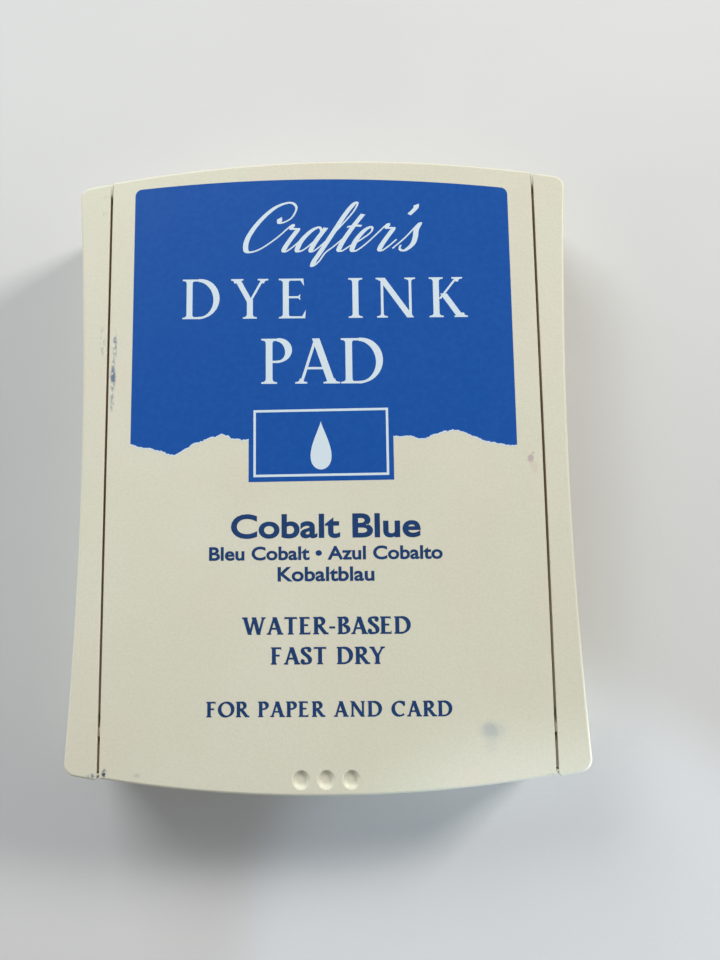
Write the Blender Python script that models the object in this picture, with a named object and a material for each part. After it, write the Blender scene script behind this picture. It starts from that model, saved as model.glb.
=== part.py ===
"""Ink pad in a slide-and-flip case.

A tray under the label carries the pad face down over a shallow case. Two pivot pins at the
tray's front end run in slots in the side rails: pushed back to the end of the slots and turned
over, the tray comes down on the case again with the pad facing up.

X runs across the case, Y from the thumb dimples at the front (-Y) to the back (+Y), and Z up
from the underside. Sizes are in millimetres, and each mesh is scaled to metres as it is made.
"""

import math

import bpy
from mathutils import Matrix, Vector

MM = 0.001
GAP = 0.3  # between pieces that touch on the real object
LAP = 1.0  # how far a cutter passes the face it opens, and joined shapes reach into each other

# The case's outline from above: sides that curve in, ends that bow out
HALF_WIDTH = 47.5
CORNER_Y = 55.4
SIDE_WAIST = 1.8
END_BOW = 4.45
CORNER_RADIUS = 2.3
SEAM_CORNER_RADIUS = 0.7
LEAST_CORNER_RADIUS = 0.5
TRAY_HALF_WIDTH = 40.85
RAIL_INNER_X = 41.35

# Heights
HEIGHT = 19.0
FLOOR = 1.6
CASE_TOP = 6.0
RAIL_BOTTOM = CASE_TOP + GAP
TRAY_BOTTOM = 7.4
TRAY_TOP = 17.0
PLATE_BOTTOM = TRAY_TOP + GAP
RUNNER_TOP = TRAY_BOTTOM - GAP

# Walls and edges
WALL = 1.6
FOOT_ROUND = 0.8
TOP_ROUND = 0.45
TRAY_ROUND = 0.5

# Finger notch in each end wall of the case
NOTCH_HALF_WIDTH = 30.0
NOTCH_SLOPE = 1.0
NOTCH_BOTTOM = 5.5
NOTCH_INNER_Y = 50.0
NOTCH_OUTER_Y = 62.0

# Runners that carry the tray's long edges
RUNNER_X = 38.6
RUNNER_WIDTH = 1.2
RUNNER_HALF_LENGTH = 42.0

# Pegs that hold each rail on the case
PEG_X = 43.6
PEG_YS = (-38.0, 0.0, 38.0)
PEG_RADIUS = 0.9
PEG_TIP = 3.0
SOCKET_BOTTOM = 2.6
BOSS_RADIUS = 2.0

# Pivot pins: a shank in the tray and a head in the rail's slot
SLIDE_TRAVEL = 105.6
PIN_Y = -SLIDE_TRAVEL / 2  # so that the tray turned over at the far end covers the case again
PIN_Z = (TRAY_BOTTOM + HEIGHT) / 2
SHANK_RADIUS = 1.0
SHANK_END_X = 37.2
HEAD_RADIUS = 1.3
HEAD_X = 41.6
HEAD_END_X = 43.55
PIN_CHAMFER = 0.3
SLOT_END_X = 43.9
SLOT_HALF_HEIGHT = HEAD_RADIUS + GAP
PIN_BLOCK_X = 36.9
PIN_BLOCK_FRONT_Y = -55.6
PIN_BLOCK_BACK_Y = -50.0
PIN_BLOCK_TOP = 16.0

# The pad and the well that holds it
WELL_HALF_X = 28.6
WELL_HALF_Y = 46.1
WELL_CORNER = 2.0
WELL_TOP = 13.4
WELL_WALL = 1.4
PAD_FACE = 6.2
PAD_ROUND = 0.9
CLOTH = 0.4
CLOTH_TOP = 11.8
BACKING_BOTTOM = CLOTH_TOP + GAP
BACKING_TOP = WELL_TOP - GAP

# Posts that hold the label plate on the tray
POST_X = 34.6
POST_Y = 36.0
POST_RADIUS = 1.1
POST_TIP = 12.8
POST_BOSS_RADIUS = 2.5
POST_BOSS_TOP = 16.2
POST_SOCKET_BOTTOM = 12.4

# Thumb dimples in the label plate
DIMPLE_Y = -57.0
DIMPLE_SPACING = 4.5
DIMPLE_WIDTH = 3.15
DIMPLE_LENGTH = 3.45
DIMPLE_DEPTH = 0.6
DIMPLE_STEPS = 6

# How finely curves are divided
END_STEPS = 18
SIDE_STEPS = 12
ARC_STEPS = 5
EDGE_STEPS = 2
ROUND_SEGMENTS = 20
SHARP_ANGLE = math.radians(35)

PIVOT = Vector((0.0, PIN_Y, PIN_Z))
CREAM = (0.70, 0.67, 0.54)
BOARD_GREY = (0.55, 0.52, 0.45)
BLUE_INK = (0.017, 0.075, 0.33)


def clear_scene():
    for obj in list(bpy.data.objects):
        bpy.data.objects.remove(obj, do_unlink=True)


def end_y(x):
    """Half the case's length at a distance x from its middle line."""
    return CORNER_Y + END_BOW * (1 - (x / HALF_WIDTH) ** 2)


def side_x(y):
    """Half the case's width at a distance y from its middle."""
    return HALF_WIDTH - SIDE_WAIST * (1 - (y / CORNER_Y) ** 2)


def spread(start, stop, steps):
    return [start + (stop - start) * i / steps for i in range(steps + 1)]


def rounded(points, radii):
    """The anticlockwise outline with each corner that radii names turned into an arc."""
    result = []
    for index, point in enumerate(points):
        if index not in radii:
            result.append(point)
            continue
        radius = radii[index]
        corner = Vector(point)
        before = (Vector(points[index - 1]) - corner).normalized()
        after = (Vector(points[(index + 1) % len(points)]) - corner).normalized()
        half_angle = before.angle(after) / 2
        centre = corner + (before + after).normalized() * radius / math.sin(half_angle)
        spoke = corner + before * radius / math.tan(half_angle) - centre
        for turn in spread(0, math.pi - 2 * half_angle, ARC_STEPS):
            result.append(tuple(centre + Matrix.Rotation(turn, 2) @ spoke))
    return result


def inset(points, distance):
    """The anticlockwise outline moved inwards by the distance."""
    result = []
    for index, point in enumerate(points):
        here = Vector(point)
        before = (here - Vector(points[index - 1])).normalized()
        after = (Vector(points[(index + 1) % len(points)]) - here).normalized()
        normal = Vector((-before.y, before.x))
        inward = (normal + Vector((-after.y, after.x))).normalized()
        result.append(tuple(here + inward * distance / inward.dot(normal)))
    return result


def mirrored_end(half_width, margin):
    """Points along the back end and then along the front end, right to left and left to right."""
    xs = spread(half_width, -half_width, END_STEPS)
    end = [(x, end_y(x) - margin) for x in xs]
    return end + [(-x, -y) for x, y in end]


def case_outline(margin=0.0):
    """The whole case from above, starting at its back right corner, moved in by the margin."""
    ends = mirrored_end(HALF_WIDTH - margin, margin)
    corner_y = ends[0][1]
    side = [(side_x(y) - margin, y) for y in spread(-corner_y, corner_y, SIDE_STEPS)][1:-1]
    count = END_STEPS + 1
    points = ends[:count] + [(-x, -y) for x, y in side] + ends[count:] + side
    corners = (0, END_STEPS, END_STEPS + SIDE_STEPS, 2 * END_STEPS + SIDE_STEPS)
    radius = max(CORNER_RADIUS - margin, LEAST_CORNER_RADIUS)
    return rounded(points, dict.fromkeys(corners, radius))


def tray_outline(margin=0.0):
    """The tray and its label plate from above: straight sides and the case's bowed ends."""
    corners = (0, END_STEPS, END_STEPS + 1, 2 * END_STEPS + 1)
    radius = max(SEAM_CORNER_RADIUS - margin, LEAST_CORNER_RADIUS)
    ends = mirrored_end(TRAY_HALF_WIDTH - margin, margin)
    return rounded(ends, dict.fromkeys(corners, radius))


def rail_outline():
    """The right-hand rail from above, starting at its inner front corner."""
    side = [(side_x(y), y) for y in spread(-CORNER_Y, CORNER_Y, SIDE_STEPS)]
    inner_end = end_y(RAIL_INNER_X)
    points = [(RAIL_INNER_X, -inner_end)] + side + [(RAIL_INNER_X, inner_end)]
    radii = dict.fromkeys((0, len(points) - 1), SEAM_CORNER_RADIUS)
    radii.update(dict.fromkeys((1, len(points) - 2), CORNER_RADIUS))
    return rounded(points, radii)


def rectangle(half_x, half_y, radius):
    points = [(half_x, -half_y), (half_x, half_y), (-half_x, half_y), (-half_x, -half_y)]
    return rounded(points, dict.fromkeys(range(4), radius))


def circle(x, y, radius):
    turns = spread(0, math.tau, ROUND_SEGMENTS)[:-1]
    return [(x + radius * math.cos(a), y + radius * math.sin(a)) for a in turns]


def layers(outline, low, high, low_round=0.0, high_round=0.0):
    """Rings of a straight-sided block, with its lower and upper edges rounded."""
    rings = []
    for turn in spread(0, math.pi / 2, EDGE_STEPS) if low_round else [math.pi / 2]:
        ring = inset(outline, low_round * (1 - math.sin(turn)))
        rings.append((ring, low + low_round * (1 - math.cos(turn))))
    for turn in spread(math.pi / 2, 0, EDGE_STEPS) if high_round else [math.pi / 2]:
        ring = inset(outline, high_round * (1 - math.sin(turn)))
        rings.append((ring, high - high_round * (1 - math.cos(turn))))
    return rings


def solid(name, rings):
    """A closed solid through a stack of rings, each an outline of equal count and its height."""
    points = [(x * MM, y * MM, z * MM) for outline, z in rings for x, y in outline]
    return skinned(name, points, len(rings[0][0]))


def turned(name, profile, centre):
    """A solid turned about a line along X: profile lists (x, radius) from low to high x."""
    points = []
    for x, radius in profile:
        for y, z in circle(centre.y, centre.z, radius):
            points.append((x * MM, y * MM, z * MM))
    return skinned(name, points, ROUND_SEGMENTS)


def skinned(name, points, count):
    """An object whose points are rings of the given count, joined in turn and capped at both ends."""
    faces = [tuple(reversed(range(count)))]
    for start in range(0, len(points) - count, count):
        for i in range(count):
            j = (i + 1) % count
            faces.append((start + i, start + j, start + count + j, start + count + i))
    faces.append(tuple(range(len(points) - count, len(points))))
    mesh = bpy.data.meshes.new(name)
    mesh.from_pydata(points, [], faces)
    mesh.shade_smooth()
    mesh.set_sharp_from_angle(angle=SHARP_ANGLE)
    obj = bpy.data.objects.new(name, mesh)
    bpy.context.scene.collection.objects.link(obj)
    return obj


def block(name, low, high):
    (x0, y0, z0), (x1, y1, z1) = low, high
    return solid(name, layers([(x0, y0), (x1, y0), (x1, y1), (x0, y1)], z0, z1))


def combine(target, tool, operation):
    """Adds the tool to the target or cuts it away, and keeps it as a wire guide."""
    tool.hide_render = True
    tool.display_type = "WIRE"
    modifier = target.modifiers.new(tool.name, "BOOLEAN")
    modifier.object = tool
    modifier.operation = operation


def add(target, tool):
    combine(target, tool, "UNION")


def cut(target, tool):
    combine(target, tool, "DIFFERENCE")


def dress(obj, colour, roughness, metallic=0.0):
    """Gives the object a material of its own."""
    material = bpy.data.materials.new(obj.name)
    material.use_nodes = True
    shader = material.node_tree.nodes["Principled BSDF"]
    shader.inputs["Base Color"].default_value = (*colour, 1.0)
    shader.inputs["Roughness"].default_value = roughness
    shader.inputs["Metallic"].default_value = metallic
    obj.data.materials.append(material)


def notch_cutter(name, way):
    """A trapezoid that lowers the middle of one end wall, way being -1 in front and 1 behind."""
    low_y, high_y = sorted((way * NOTCH_INNER_Y, way * NOTCH_OUTER_Y))
    rings = []
    for half, z in ((NOTCH_HALF_WIDTH, NOTCH_BOTTOM), (NOTCH_HALF_WIDTH + NOTCH_SLOPE, CASE_TOP)):
        rings.append(([(-half, low_y), (half, low_y), (half, high_y), (-half, high_y)], z))
    rings.append((rings[-1][0], CASE_TOP + LAP))
    return solid(name, rings)


def fit_case_side(case, way):
    """Adds the runner and the rail's peg sockets on one side, way being -1 left and 1 right."""
    inner, outer = sorted((way * RUNNER_X, way * (RUNNER_X + RUNNER_WIDTH)))
    low = (inner, -RUNNER_HALF_LENGTH, FLOOR / 2)
    high = (outer, RUNNER_HALF_LENGTH, RUNNER_TOP)
    add(case, block(f"case_runner_{way}", low, high))
    for y in PEG_YS:
        boss = layers(circle(way * PEG_X, y, BOSS_RADIUS), FLOOR / 2, CASE_TOP)
        add(case, solid(f"case_boss_{way}_{y:.0f}", boss))
        hole = circle(way * PEG_X, y, PEG_RADIUS + GAP)
        hole = layers(hole, SOCKET_BOTTOM, CASE_TOP + LAP)
        cut(case, solid(f"case_socket_{way}_{y:.0f}", hole))


def make_lower_case():
    case = solid("lower_case", layers(case_outline(), 0, CASE_TOP, low_round=FOOT_ROUND))
    cut(case, solid("case_cavity", layers(case_outline(WALL), FLOOR, CASE_TOP + LAP)))
    for way in (-1, 1):
        cut(case, notch_cutter(f"case_notch_{way}", way))
        fit_case_side(case, way)
    dress(case, CREAM, 0.5)


def make_rail(name, way):
    """One side rail, way being -1 on the left and 1 on the right."""
    outline = rail_outline()
    if way < 0:
        outline = [(-x, y) for x, y in reversed(outline)]
    rail = solid(name, layers(outline, RAIL_BOTTOM, HEIGHT, high_round=TOP_ROUND))
    slot_end = -PIN_Y + SLOT_HALF_HEIGHT
    inner, outer = sorted((way * (RAIL_INNER_X - LAP), way * SLOT_END_X))
    low = (inner, -slot_end, PIN_Z - SLOT_HALF_HEIGHT)
    high = (outer, slot_end, PIN_Z + SLOT_HALF_HEIGHT)
    cut(rail, block(f"{name}_slot", low, high))
    for y in PEG_YS:
        peg = layers(circle(way * PEG_X, y, PEG_RADIUS), PEG_TIP, RAIL_BOTTOM + LAP)
        add(rail, solid(f"{name}_peg_{y:.0f}", peg))
    dress(rail, CREAM, 0.5)


def fit_tray_side(tray, way):
    """Adds the pin's block and bore and the post sockets on one side, way being -1 left, 1 right."""
    inner, outer = sorted((way * PIN_BLOCK_X, way * (TRAY_HALF_WIDTH - LAP)))
    low = (inner, PIN_BLOCK_FRONT_Y, TRAY_BOTTOM + LAP)
    high = (outer, PIN_BLOCK_BACK_Y, PIN_BLOCK_TOP)
    add(tray, block(f"tray_pin_block_{way}", low, high))
    ends = sorted((way * (PIN_BLOCK_X - LAP), way * (TRAY_HALF_WIDTH + LAP)))
    bore = [(x, SHANK_RADIUS + GAP) for x in ends]
    cut(tray, turned(f"tray_bore_{way}", bore, PIVOT))
    for y in (-POST_Y, POST_Y):
        boss = circle(way * POST_X, y, POST_BOSS_RADIUS)
        boss = layers(boss, TRAY_BOTTOM + LAP, POST_BOSS_TOP)
        add(tray, solid(f"tray_boss_{way}_{y:.0f}", boss))
        hole = circle(way * POST_X, y, POST_RADIUS + GAP)
        hole = layers(hole, POST_SOCKET_BOTTOM, POST_BOSS_TOP + LAP)
        cut(tray, solid(f"tray_socket_{way}_{y:.0f}", hole))


def make_pad_tray():
    """A shell closed below round the pad's well and open above, where the label plate covers it."""
    tray = solid("pad_tray", layers(tray_outline(), TRAY_BOTTOM, TRAY_TOP, low_round=TRAY_ROUND))
    hollow = layers(tray_outline(WALL), TRAY_BOTTOM + WALL, TRAY_TOP + LAP)
    cut(tray, solid("tray_hollow", hollow))
    outside = rectangle(WELL_HALF_X + WELL_WALL, WELL_HALF_Y + WELL_WALL, WELL_CORNER + WELL_WALL)
    add(tray, solid("tray_well_walls", layers(outside, TRAY_BOTTOM + LAP, WELL_TOP + WALL)))
    for way in (-1, 1):
        fit_tray_side(tray, way)
    well = rectangle(WELL_HALF_X, WELL_HALF_Y, WELL_CORNER)
    cut(tray, solid("tray_well", layers(well, TRAY_BOTTOM - LAP, WELL_TOP)))
    dress(tray, CREAM, 0.5)
    return tray


def dimple_cutter(name, x):
    """A ball stretched to the dimple's outline, its lowest point at the dimple's depth."""
    half_width = DIMPLE_WIDTH / 2
    radius = (half_width ** 2 + DIMPLE_DEPTH ** 2) / (2 * DIMPLE_DEPTH)
    stretch = DIMPLE_LENGTH / DIMPLE_WIDTH
    centre_z = HEIGHT - DIMPLE_DEPTH + radius
    rings = []
    for turn in spread(-math.pi / 2, 0, DIMPLE_STEPS)[1:]:
        ring = circle(0, 0, radius * math.cos(turn))
        ring = [(x + across, DIMPLE_Y + along * stretch) for across, along in ring]
        rings.append((ring, centre_z + radius * math.sin(turn)))
    return solid(name, rings)


def make_label_plate():
    plate = layers(tray_outline(), PLATE_BOTTOM, HEIGHT, high_round=TOP_ROUND)
    plate = solid("label_plate", plate)
    for step in (-1, 0, 1):
        cut(plate, dimple_cutter(f"dimple_{step}", step * DIMPLE_SPACING))
    for x in (-POST_X, POST_X):
        for y in (-POST_Y, POST_Y):
            post = layers(circle(x, y, POST_RADIUS), POST_TIP, PLATE_BOTTOM + LAP)
            add(plate, solid(f"plate_post_{x:.0f}_{y:.0f}", post))
    dress(plate, CREAM, 0.45)
    return plate


def make_pad_backing():
    board = rectangle(WELL_HALF_X - GAP, WELL_HALF_Y - GAP, WELL_CORNER)
    backing = solid("pad_backing", layers(board, BACKING_BOTTOM, BACKING_TOP))
    dress(backing, BOARD_GREY, 0.8)
    return backing


def make_pad_cloth():
    """The woven cover: a cap over the foam, open towards the backing."""
    outside = rectangle(WELL_HALF_X - GAP, WELL_HALF_Y - GAP, WELL_CORNER)
    cloth = solid("pad_cloth", layers(outside, PAD_FACE, CLOTH_TOP, low_round=PAD_ROUND))
    inside = inset(outside, CLOTH)
    room = layers(inside, PAD_FACE + CLOTH, CLOTH_TOP + LAP, low_round=PAD_ROUND)
    cut(cloth, solid("cloth_room", room))
    dress(cloth, BLUE_INK, 0.85)
    return cloth


def make_ink_foam():
    outline = inset(rectangle(WELL_HALF_X - GAP, WELL_HALF_Y - GAP, WELL_CORNER), CLOTH + GAP)
    rings = layers(outline, PAD_FACE + CLOTH + GAP, CLOTH_TOP, low_round=PAD_ROUND)
    foam = solid("ink_foam", rings)
    dress(foam, BLUE_INK, 0.9)
    return foam


def make_pivot_pin(name, way):
    """A headed pin, its shank in the tray and its head in the slot, way being its side."""
    profile = [
        (SHANK_END_X, SHANK_RADIUS - PIN_CHAMFER),
        (SHANK_END_X + PIN_CHAMFER, SHANK_RADIUS),
        (HEAD_X, SHANK_RADIUS),
        (HEAD_X, HEAD_RADIUS),
        (HEAD_END_X - PIN_CHAMFER, HEAD_RADIUS),
        (HEAD_END_X, HEAD_RADIUS - PIN_CHAMFER),
    ]
    if way < 0:
        profile = [(-x, radius) for x, radius in reversed(profile)]
    pin = turned(name, profile, PIVOT)
    dress(pin, CREAM, 0.4)
    return pin


def pivot_on(obj, empty):
    """Parents the object to the empty and moves its origin there, leaving its shape in place."""
    obj.data.transform(Matrix.Translation(-empty.location))
    obj.parent = empty


def make_pivot_empty():
    empty = bpy.data.objects.new("tray_pivot", None)
    empty.empty_display_size = 10 * MM
    empty.location = PIVOT * MM
    bpy.context.scene.collection.objects.link(empty)
    return empty


def main():
    clear_scene()
    make_lower_case()
    make_rail("left_rail", -1)
    make_rail("right_rail", 1)
    pivot = make_pivot_empty()
    moving = [
        make_pivot_pin("left_pivot_pin", -1),
        make_pivot_pin("right_pivot_pin", 1),
        make_pad_tray(),
        make_label_plate(),
        make_pad_backing(),
        make_ink_foam(),
        make_pad_cloth(),
    ]
    for obj in moving:
        pivot_on(obj, pivot)


main()
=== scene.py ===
"""The looks of the ink pad in its slide-and-flip case.

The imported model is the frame. Each visible moulding is built again here with finer rounds, the
label's print is a thin layer of ink of its own, and every surface gets a node material.

X runs across the case, Y from the thumb dimples at the front (-Y) to the back (+Y), and Z up
from the underside. Sizes are in millimetres, and each mesh is scaled to metres as it is made.
"""

import math

import bmesh
import bpy
import numpy as np
from mathutils import Matrix, Vector, noise
from mathutils.geometry import delaunay_2d_cdt, interpolate_bezier


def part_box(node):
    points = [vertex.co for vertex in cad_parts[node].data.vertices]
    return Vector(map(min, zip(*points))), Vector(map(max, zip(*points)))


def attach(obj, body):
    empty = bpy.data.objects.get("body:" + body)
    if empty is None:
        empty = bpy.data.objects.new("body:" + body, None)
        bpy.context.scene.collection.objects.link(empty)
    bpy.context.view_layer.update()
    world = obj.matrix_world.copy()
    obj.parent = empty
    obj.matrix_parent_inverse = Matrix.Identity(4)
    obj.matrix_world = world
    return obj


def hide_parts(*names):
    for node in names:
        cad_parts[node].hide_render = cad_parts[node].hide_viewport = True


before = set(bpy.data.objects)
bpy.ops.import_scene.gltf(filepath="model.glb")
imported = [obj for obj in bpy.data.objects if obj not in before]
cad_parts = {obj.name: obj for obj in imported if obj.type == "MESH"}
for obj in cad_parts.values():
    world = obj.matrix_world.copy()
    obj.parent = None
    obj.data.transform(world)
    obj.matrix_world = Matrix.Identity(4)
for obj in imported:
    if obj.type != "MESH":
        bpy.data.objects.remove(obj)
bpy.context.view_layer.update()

MM = 0.001
LAP = 1.0  # how far a cutter passes the face it opens, and joined shapes reach into each other
INK = 0.02  # how far the printed ink stands up, to the CAD model's top
INK_SINK = 1.25  # the ink's whole thickness as a share of that, so that it reaches into the plastic


def box_mm(node):
    low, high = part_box(node)
    return low / MM, high / MM


# Heights and half widths, from the frame
TRAY_LOW, TRAY_HIGH = box_mm("pad_tray")
PIN_LOW, PIN_HIGH = box_mm("right_pivot_pin")
CLOTH_LOW, CLOTH_HIGH = box_mm("pad_cloth")
FOAM_LOW, FOAM_HIGH = box_mm("ink_foam")
PIVOT = (PIN_LOW + PIN_HIGH) / 2
TOP = box_mm("label_plate")[1].z - INK
CASE_TOP = 6.0
RAIL_BOTTOM = CASE_TOP + 0.06  # leaves a hairline between the rail and the case
PLATE_BOTTOM = TRAY_HIGH.z + 0.12
TRAY_HALF_WIDTH = TRAY_HIGH.x
RAIL_INNER_X = box_mm("right_rail")[0].x

# The outline from above: sides that curve in, ends that bow out
HALF_WIDTH = 47.5
CORNER_Y = 55.4
SIDE_WAIST = 1.8
END_BOW = 4.45
CORNER_RADIUS = 2.3
SEAM_CORNER_RADIUS = 0.6
LEAST_CORNER_RADIUS = 0.5

# Rounds of the mouldings' edges
TOP_ROUND = 0.55
SEAM_ROUND = 0.1
FOOT_ROUND = 0.8
RIM_ROUND = 0.35
TRAY_ROUND = 0.5
LIP_ROUND = 0.4
FINE_ROUND = 0.15

# Walls, notches and runners of the case
WALL = 1.6
FLOOR = 1.6
NOTCH_HALF_WIDTH = 29.0
NOTCH_SLOPE = 3.0
NOTCH_DEPTH = 0.5
NOTCH_FROM_Y = 50.0
RUNNER_X = 38.6
RUNNER_WIDTH = 1.2
RUNNER_HALF_LENGTH = 42.0
RUNNER_TOP = 7.1
PEG_X = 43.6
PEG_YS = (-38.0, 0.0, 38.0)
PEG_RADIUS = 0.9
PEG_TIP = 3.0
SOCKET_RADIUS = 1.2
SOCKET_BOTTOM = 2.6
BOSS_RADIUS = 2.0

# Rails: how far their ends are set forward, the pins' slot, and the ribs in the seam
RAIL_BACK_SHIFT = -0.1
RAIL_FRONT_SHIFT = -0.4
SLOT_END_X = 43.9
SLOT_HALF_HEIGHT = 1.6
SLOT_ROUND = 0.3
SLOT_FULLNESS = 0.98  # its ends are all but half circles
GUIDE_CLEARANCE = 0.1
GUIDE_RAMP = 1.6
GUIDE_DROP = 1.1
GUIDE_DEPTH = 3.0
GUIDES = (  # full end, low end, sunk
    (56.1, 52.6, 0.14),
    (52.4, -46.4, 0.72),
    (-49.2, -46.3, 0.42),
    (-55.4, -49.4, 0.66),
    (-56.0, -55.6, 0.15),
)

# Tray: the pad's well, the blocks that hold the pins, and marks of the ejector pins
WELL_HALF_X = 28.6
WELL_HALF_Y = 46.1
WELL_CORNER = 2.0
WELL_TOP = 13.4
WELL_WALL = 1.4
BORE_RADIUS = 1.3
BLOCK_X = 36.9
BLOCK_FRONT_Y = -55.6
BLOCK_BACK_Y = -50.0
BLOCK_TOP = 16.0
EJECTOR_RADIUS = 2.5
EJECTOR_DEPTH = 0.12
CASE_MARKS = [(x, y) for x in (-30.0, 30.0) for y in (-44.0, 0.0, 44.0)]
TRAY_MARKS = [(x, y) for x in (-35.0, 35.0) for y in (-30.0, 0.0, 30.0)]
TRAY_MARKS += [(x, y) for x in (-18.0, 18.0) for y in (-52.5, 52.5)]

# Posts of the label plate
POST_X = 34.6
POST_Y = 36.0
POST_RADIUS = 1.1
POST_TIP = 12.8

# Pivot pins
SHANK_RADIUS = 1.0
HEAD_X = 41.6

# Thumb dimples, and the rings that shape them, the last of which is just outside the rim
DIMPLE_XS = (-4.5, 0.0, 4.5)
DIMPLE_Y = -57.0
DIMPLE_HALF_WIDTH = 1.62
DIMPLE_HALF_LENGTH = 1.76
DIMPLE_DEPTH = 0.64

# Pad
CLOTH_ROUND = 1.3
FOAM_ROUND = 0.9

# The cover's mesh, and the cloth simulation that crowns it
COVER_VOXEL = 1.0
COVER_FRAMES = 20
CROWN = 0.6  # the most that a point of it moves
HELD_DEPTH = 1.2  # how much of its back edge is held
CLOTH_SETTINGS = {
    "quality": 6,
    "mass": 0.2,
    "tension_stiffness": 12,
    "compression_stiffness": 12,
    "bending_stiffness": 0.4,
    "use_pressure": True,
    "uniform_pressure_force": 4.0,
    "vertex_group_mass": "held",
}

# How finely curves are divided
END_STEPS = 44
SIDE_STEPS = 36
ARC_STEPS = 7
EDGE_STEPS = 5
ROUND_SEGMENTS = 40
SHARP_ANGLE = math.radians(35)

# Colours
CREAM = (0.71, 0.688, 0.553)
CREAM_SHADE = (0.655, 0.637, 0.495)
CREAM_ROSY = (0.73, 0.64, 0.52)
CREAM_GREEN = (0.66, 0.68, 0.52)
HANDLED = (0.42, 0.40, 0.33)
# dark brown of the seams: painted shade of the narrow gaps, partly dirt
SEAM_SHADE_AND_GRIME = (0.25, 0.145, 0.09)
BOARD_GREY = (0.55, 0.52, 0.45)
BOARD_FIBRE = (0.40, 0.37, 0.31)
PAD_BLUE = (0.006, 0.03, 0.17)
PAD_POOLED = (0.010, 0.05, 0.25)
# darker between the weave's threads: painted shade
PAD_GAP_SHADE = (0.004, 0.018, 0.10)
# foam's cells: painted shade in their hollows and painted light on their rims
FOAM_CELL_SHADE = (0.006, 0.03, 0.16)
FOAM_LIT = (0.02, 0.09, 0.38)

# Inks: the flat colour, where it is thin, and in worn specks
PANEL_INK = ((0.0055, 0.076, 0.342), (0.012, 0.098, 0.39), (0.16, 0.24, 0.42))
WORDS_INK = ((0.011, 0.042, 0.13), (0.016, 0.065, 0.24), (0.20, 0.24, 0.34))
LETTER_INK = ((0.63, 0.74, 0.81), (0.72, 0.75, 0.73), (0.45, 0.55, 0.68))

# Patches and flecks in the plastic: colour, size, detail, where they start and are full, strength
TINTS = (
    (CREAM_SHADE, 34.0, 3.0, 0.3, 0.75, 0.5),
    (CREAM_ROSY, 15.0, 3.0, 0.45, 0.7, 0.28),
    (CREAM_GREEN, 21.0, 3.0, 0.45, 0.7, 0.4),
    (HANDLED, 0.45, 3.0, 0.3, 0.7, 0.13),
    (HANDLED, 0.9, 5.0, 0.66, 0.78, 0.12),
)
RAGGEDNESS = 0.35  # of a stain's edge
FOAM_CELL = 0.6
WEAVE_PITCH = 0.36


# ---------------------------------------------------------------- outlines


def spread(start, stop, steps):
    return [start + (stop - start) * i / steps for i in range(steps + 1)]


DIMPLE_RINGS = spread(0.08, 1.0, 14) + [1.06]


def end_y(x):
    """Half the case's length at a distance x from its middle line."""
    return CORNER_Y + END_BOW * (1 - (x / HALF_WIDTH) ** 2)


def side_x(y):
    """Half the case's width at a distance y from its middle."""
    return HALF_WIDTH - SIDE_WAIST * (1 - (y / CORNER_Y) ** 2)


def rounded(points, radii):
    """The anticlockwise outline with each corner that radii names turned into an arc."""
    result = []
    for index, point in enumerate(points):
        if index not in radii:
            result.append(point)
            continue
        radius = radii[index]
        corner = Vector(point)
        before = (Vector(points[index - 1]) - corner).normalized()
        after = (Vector(points[(index + 1) % len(points)]) - corner).normalized()
        half_angle = before.angle(after) / 2
        centre = corner + (before + after).normalized() * radius / math.sin(half_angle)
        spoke = corner + before * radius / math.tan(half_angle) - centre
        for turn in spread(0, math.pi - 2 * half_angle, ARC_STEPS):
            result.append(tuple(centre + Matrix.Rotation(turn, 2) @ spoke))
    return result


def inset(points, distance):
    """The anticlockwise outline moved inwards, by one distance or by one for each point."""
    distances = distance if isinstance(distance, list) else [distance] * len(points)
    result = []
    for index, point in enumerate(points):
        here = Vector(point)
        before = (here - Vector(points[index - 1])).normalized()
        after = (Vector(points[(index + 1) % len(points)]) - here).normalized()
        normal = Vector((-before.y, before.x))
        inward = (normal + Vector((-after.y, after.x))).normalized()
        result.append(tuple(here + inward * distances[index] / inward.dot(normal)))
    return result


def mirrored_end(half_width, margin):
    """Points along the back end and then along the front end, right to left and left to right."""
    xs = spread(half_width, -half_width, END_STEPS)
    end = [(x, end_y(x) - margin) for x in xs]
    return end + [(-x, -y) for x, y in end]


def case_outline(margin=0.0):
    """The whole case from above, starting at its back right corner, moved in by the margin."""
    ends = mirrored_end(HALF_WIDTH - margin, margin)
    corner_y = ends[0][1]
    side = [(side_x(y) - margin, y) for y in spread(-corner_y, corner_y, SIDE_STEPS)][1:-1]
    count = END_STEPS + 1
    points = ends[:count] + [(-x, -y) for x, y in side] + ends[count:] + side
    corners = (0, END_STEPS, END_STEPS + SIDE_STEPS, 2 * END_STEPS + SIDE_STEPS)
    radius = max(CORNER_RADIUS - margin, LEAST_CORNER_RADIUS)
    return rounded(points, dict.fromkeys(corners, radius))


def tray_outline(margin=0.0):
    """The tray and its label plate from above: straight sides and the case's bowed ends."""
    corners = (0, END_STEPS, END_STEPS + 1, 2 * END_STEPS + 1)
    radius = max(SEAM_CORNER_RADIUS - margin, LEAST_CORNER_RADIUS)
    ends = mirrored_end(TRAY_HALF_WIDTH - margin, margin)
    return rounded(ends, dict.fromkeys(corners, radius))


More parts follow.
